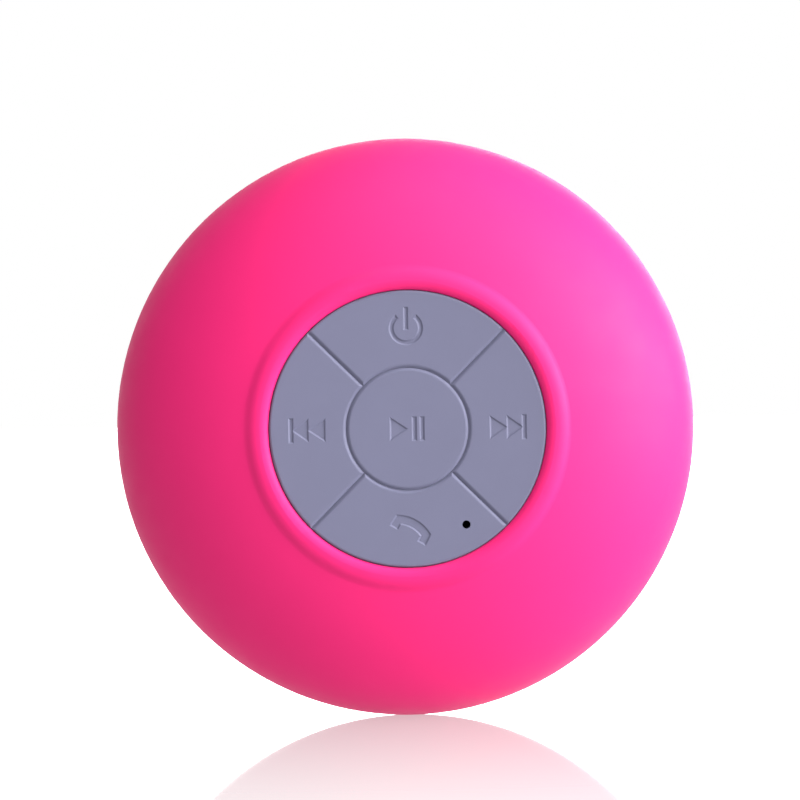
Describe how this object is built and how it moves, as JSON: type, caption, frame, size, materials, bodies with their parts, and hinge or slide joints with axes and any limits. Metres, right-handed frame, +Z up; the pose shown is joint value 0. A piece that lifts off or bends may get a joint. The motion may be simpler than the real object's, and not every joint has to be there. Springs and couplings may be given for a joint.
{
  "type": "shower speaker",
  "caption": "Round waterproof speaker in a soft jacket with a keypad on its front, a grille and a charging port on its back, and a suction cup that it turns on.",
  "frame": {"origin": "centre of the suction cup's flat rim, on the face of the wall that it grips", "axes": "+Y into the wall along the axis that the speaker turns on, so the keypad faces -Y; +Z up, through the power key"},
  "size_m": [0.086, 0.055, 0.086],
  "materials": {
    "pink_silicone": "matte",
    "grey_silicone": "matte",
    "grey_plastic": "fine texture",
    "clear_pink_rubber": "glossy",
    "grey_rubber": "matte",
    "black_rubber": "matte",
    "screw_steel": "plated",
    "mesh_black": "woven",
    "plated_steel": "satin",
    "black_plastic": "matte",
    "white_plastic": "satin",
    "circuit_board": "solder mask",
    "capacitor_tan": "gloss",
    "mic_metal": "satin",
    "led_lens": "gloss",
    "frame_steel": "plated",
    "ferrite": "matte",
    "paper_cone": "matte",
    "coil_copper": "enamelled",
    "spider_cloth": "woven",
    "battery_foil": "foil",
    "wire_skin": "gloss"
  },
  "bodies": {
    "wall_cup": {"suction_cup": "clear_pink_rubber"},
    "speaker_body": {"silicone_jacket": "pink_silicone", "keypad_membrane": "grey_silicone", "front_housing": "grey_plastic", "rear_housing": "grey_plastic", "port_cover_anchor": "grey_rubber", "housing_seal": "black_rubber", "mic_boot": "black_rubber", "speaker_surround": "black_rubber", "speaker_gasket": "black_rubber", "battery_pad": "black_rubber", "housing_screws": "screw_steel", "board_screws": "screw_steel", "driver_screws": "screw_steel", "grille_mesh": "mesh_black", "usb_shell": "plated_steel", "crystal": "plated_steel", "radio_module": "plated_steel", "usb_tongue": "black_plastic", "keypad_support": "black_plastic", "switch_bodies": "black_plastic", "chips": "black_plastic", "battery_cradle": "black_plastic", "sockets": "white_plastic", "main_board": "circuit_board", "charge_board": "circuit_board", "speaker_terminals": "circuit_board", "capacitors": "capacitor_tan", "mic_capsule": "mic_metal", "status_led": "led_lens", "speaker_frame": "frame_steel", "top_plate": "frame_steel", "yoke": "frame_steel", "magnet": "ferrite", "speaker_spider": "spider_cloth", "battery_cell": "battery_foil", "charge_wires": "wire_skin", "speaker_wires": "wire_skin", "battery_wires": "wire_skin"},
    "key_power": {"key_power": "grey_silicone"},
    "plunger_power": {"plunger_power": "white_plastic"},
    "key_previous": {"key_previous": "grey_silicone"},
    "plunger_previous": {"plunger_previous": "white_plastic"},
    "key_play_pause": {"key_play_pause": "grey_silicone"},
    "plunger_play_pause": {"plunger_play_pause": "white_plastic"},
    "key_next": {"key_next": "grey_silicone"},
    "plunger_next": {"plunger_next": "white_plastic"},
    "key_call": {"key_call": "grey_silicone"},
    "plunger_call": {"plunger_call": "white_plastic"},
    "cone_assembly": {"speaker_cone": "paper_cone", "dust_cap": "paper_cone", "voice_coil": "coil_copper"},
    "port_cover": {"port_cover": "grey_rubber"}
  },
  "joints": [
    {"name": "cup_swivel", "type": "hinge", "parent": "wall_cup", "child": "speaker_body", "pos_m": [0, -0.0137, 0], "axis": [0, 1, 0], "continuous": true},
    {"name": "press_power", "type": "slide", "parent": "speaker_body", "child": "key_power", "axis": [0, 1, 0], "range_m": [0, 0.0005], "stiffness_N_per_m": 3000},
    {"name": "switch_power", "type": "slide", "parent": "speaker_body", "child": "plunger_power", "axis": [0, 1, 0], "range_m": [0, 0.00025]},
    {"name": "press_previous", "type": "slide", "parent": "speaker_body", "child": "key_previous", "axis": [0, 1, 0], "range_m": [0, 0.0005], "stiffness_N_per_m": 3000},
    {"name": "switch_previous", "type": "slide", "parent": "speaker_body", "child": "plunger_previous", "axis": [0, 1, 0], "range_m": [0, 0.00025]},
    {"name": "press_play_pause", "type": "slide", "parent": "speaker_body", "child": "key_play_pause", "axis": [0, 1, 0], "range_m": [0, 0.0005], "stiffness_N_per_m": 3000},
    {"name": "switch_play_pause", "type": "slide", "parent": "speaker_body", "child": "plunger_play_pause", "axis": [0, 1, 0], "range_m": [0, 0.00025]},
    {"name": "press_next", "type": "slide", "parent": "speaker_body", "child": "key_next", "axis": [0, 1, 0], "range_m": [0, 0.0005], "stiffness_N_per_m": 3000},
    {"name": "switch_next", "type": "slide", "parent": "speaker_body", "child": "plunger_next", "axis": [0, 1, 0], "range_m": [0, 0.00025]},
    {"name": "press_call", "type": "slide", "parent": "speaker_body", "child": "key_call", "axis": [0, 1, 0], "range_m": [0, 0.0005], "stiffness_N_per_m": 3000},
    {"name": "switch_call", "type": "slide", "parent": "speaker_body", "child": "plunger_call", "axis": [0, 1, 0], "range_m": [0, 0.00025]},
    {"name": "cone_travel", "type": "slide", "parent": "speaker_body", "child": "cone_assembly", "axis": [0, 1, 0], "range_m": [-0.0008, 0.0008], "stiffness_N_per_m": 1900, "deforming": ["speaker_surround", "speaker_spider"]},
    {"name": "port_cover_hinge", "type": "hinge", "parent": "speaker_body", "child": "port_cover", "pos_m": [-0.03399, -0.02009, 0.0066], "axis": [0.7071, 0.7071, 0], "range_deg": [0, 105], "stiffness_Nm_per_rad": 0.0006}
  ],
  "couplings": [
    {"joint": "switch_power", "follows": "press_power", "ratio": 0.5},
    {"joint": "switch_previous", "follows": "press_previous", "ratio": 0.5},
    {"joint": "switch_play_pause", "follows": "press_play_pause", "ratio": 0.5},
    {"joint": "switch_next", "follows": "press_next", "ratio": 0.5},
    {"joint": "switch_call", "follows": "press_call", "ratio": 0.5}
  ]
}
